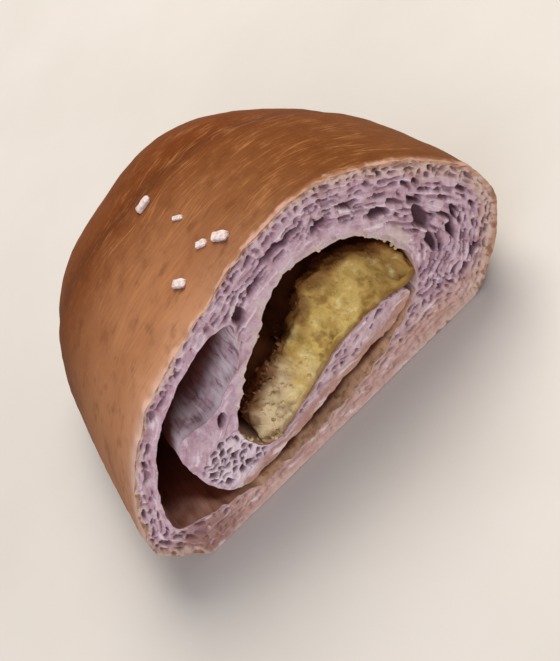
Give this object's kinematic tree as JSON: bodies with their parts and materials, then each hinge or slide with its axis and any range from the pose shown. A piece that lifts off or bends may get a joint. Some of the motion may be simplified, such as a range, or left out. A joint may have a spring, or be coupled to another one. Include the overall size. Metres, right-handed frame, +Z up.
{
  "type": "salt bread roll half",
  "caption": "Half of a rolled salt bread, cut across its middle, with a browned crust, coarse salt, a hollow spiral crumb and a crumbly yellow filling.",
  "frame": {"origin": "middle of the flat underside, at the centre of the object's box", "axes": "+Z up, +Y along the roll from the cut face to the tip, +X across the roll; the cut face looks along -Y"},
  "size_m": [0.0854, 0.066, 0.0452],
  "materials": {
    "crust": "baked bread crust, slightly glossy",
    "filling": "crumbly moist filling"
  },
  "bodies": {
    "root": {"dough": "crust", "filling": "filling"}
  },
  "joints": []
}
